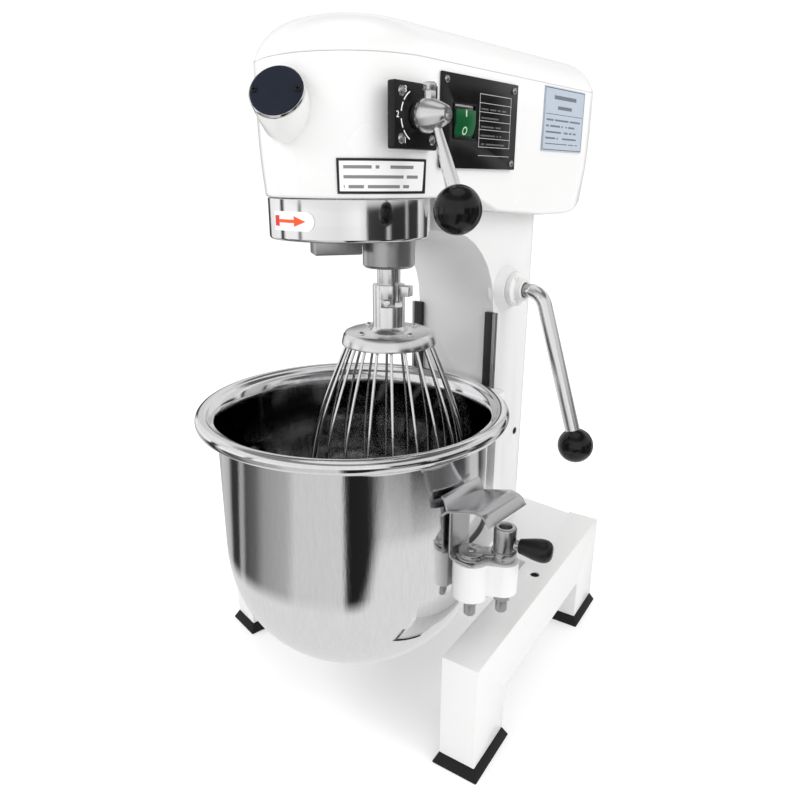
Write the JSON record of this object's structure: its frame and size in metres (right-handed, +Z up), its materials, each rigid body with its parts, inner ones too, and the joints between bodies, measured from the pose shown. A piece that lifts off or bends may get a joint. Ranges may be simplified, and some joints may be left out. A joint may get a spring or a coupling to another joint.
{
  "type": "planetary stand mixer",
  "caption": "Bench-standing planetary mixer: cast frame on splayed rails, lifting bowl on a cradle, geared planetary head with a wire whisk, lift lever and gear selector.",
  "frame": {"origin": "middle of the mixer's bounding box at floor level, under the space between bowl and column", "axes": "+Z up, -Y towards the operator at the bowl side, +X towards the side with the gear selector and the lift lever"},
  "size_m": [0.4732, 0.5129, 0.7221],
  "materials": {
    "white_paint": "glossy stove enamel, slightly soft over the cast surfaces",
    "rubber": "matt black moulded rubber",
    "slideway_black": "black oiled steel",
    "hub_cover_blue": "matt blue-black enamel with a bright edge",
    "polished_steel": "polished stainless steel",
    "satin_steel": "satin plated steel",
    "machined_steel": "bright machined steel",
    "cast_aluminium": "cast and turned",
    "motor_paint": "dark grey enamel",
    "black_plastic": "glossy black phenolic",
    "rocker_green": "glossy green",
    "label_blue": "printed label, pale blue-grey",
    "label_white": "printed label, white"
  },
  "bodies": {
    "frame": {"base_frame": "white_paint", "foot_pad_front_right": "rubber", "foot_pad_rear_right": "rubber", "foot_pad_front_left": "rubber", "foot_pad_rear_left": "rubber", "column": "white_paint", "column_rear_cover": "white_paint", "slideway_right": "slideway_black", "slideway_left": "slideway_black", "head_housing": "white_paint", "head_cover": "white_paint", "hub_barrel": "white_paint", "hub_cover": "hub_cover_blue", "ring_gear": "machined_steel", "motor": "motor_paint", "drive_belt": "rubber", "lift_boss": "white_paint", "selector_plate": "black_plastic", "switch_panel": "black_plastic", "rating_label": "label_blue", "caution_label": "label_white"},
    "planetary": {"planetary_carrier": "cast_aluminium", "drum_skirt": "polished_steel", "direction_sticker": "label_white", "main_gear": "machined_steel"},
    "layshaft": {"layshaft": "machined_steel", "layshaft_pulley": "cast_aluminium"},
    "motor_rotor": {"motor_shaft": "machined_steel"},
    "agitator": {"agitator_shaft": "satin_steel", "agitator_pinion": "machined_steel"},
    "whisk": {"whisk_hub": "satin_steel", "whisk_wires": "polished_steel"},
    "bowl_carriage": {"bowl_cradle": "white_paint", "lift_bar": "machined_steel", "bowl": "polished_steel", "bowl_ear_right": "satin_steel", "locating_pin_right": "machined_steel", "pin_stud_right": "machined_steel", "bowl_ear_left": "satin_steel", "locating_pin_left": "machined_steel", "pin_stud_left": "machined_steel"},
    "clamp_right": {"clamp_right": "satin_steel", "clamp_grip_right": "black_plastic"},
    "clamp_left": {"clamp_left": "satin_steel", "clamp_grip_left": "black_plastic"},
    "lift_handle": {"lift_shaft": "machined_steel", "lift_lever": "polished_steel", "lift_ball": "black_plastic"},
    "selector": {"selector_hub": "satin_steel", "selector_rod": "satin_steel", "selector_ball": "black_plastic"},
    "rocker": {"switch_rocker": "rocker_green"}
  },
  "joints": [
    {"name": "bowl_lift", "type": "slide", "parent": "frame", "child": "bowl_carriage", "axis": [0, 0, 1], "range_m": [0, 0.07]},
    {"name": "lift_lever_turn", "type": "hinge", "parent": "frame", "child": "lift_handle", "pos_m": [0.09, 0.1145, 0.463], "axis": [1, 0, 0], "range_deg": [0, 140.1]},
    {"name": "planetary_spin", "type": "hinge", "parent": "frame", "child": "planetary", "pos_m": [0, -0.0885, 0.56], "axis": [0, 0, 1], "continuous": true},
    {"name": "agitator_spin", "type": "hinge", "parent": "planetary", "child": "agitator", "pos_m": [0.01641, -0.04984, 0.52], "axis": [0, 0, 1], "continuous": true},
    {"name": "layshaft_spin", "type": "hinge", "parent": "frame", "child": "layshaft", "pos_m": [0, -0.0225, 0.65], "axis": [0, 0, 1], "continuous": true},
    {"name": "motor_spin", "type": "hinge", "parent": "frame", "child": "motor_rotor", "pos_m": [0, 0.1335, 0.69], "axis": [0, 0, 1], "continuous": true},
    {"name": "whisk_twist", "type": "hinge", "parent": "agitator", "child": "whisk", "pos_m": [0.01641, -0.04984, 0.463], "axis": [0, 0, 1], "range_deg": [-40, 0]},
    {"name": "clamp_right_turn", "type": "hinge", "parent": "bowl_carriage", "child": "clamp_right", "pos_m": [0.191, -0.0745, 0.25], "axis": [0, 0, 1], "range_deg": [0, 95]},
    {"name": "clamp_left_turn", "type": "hinge", "parent": "bowl_carriage", "child": "clamp_left", "pos_m": [-0.191, -0.0745, 0.25], "axis": [0, 0, 1], "range_deg": [-95, 0]},
    {"name": "gear_select", "type": "hinge", "parent": "frame", "child": "selector", "pos_m": [0.11, -0.1105, 0.636], "axis": [1, 0, 0], "range_deg": [-45, 45]},
    {"name": "switch_rock", "type": "hinge", "parent": "frame", "child": "rocker", "pos_m": [0.087, -0.035, 0.637], "axis": [0, 1, 0], "range_deg": [-14, 0]}
  ],
  "couplings": [
    {"joint": "lift_lever_turn", "follows": "bowl_lift", "rad_per_m": 34.907},
    {"joint": "agitator_spin", "follows": "planetary_spin", "ratio": -3.3333},
    {"joint": "layshaft_spin", "follows": "planetary_spin", "ratio": -3},
    {"joint": "motor_spin", "follows": "planetary_spin", "ratio": -6}
  ]
}
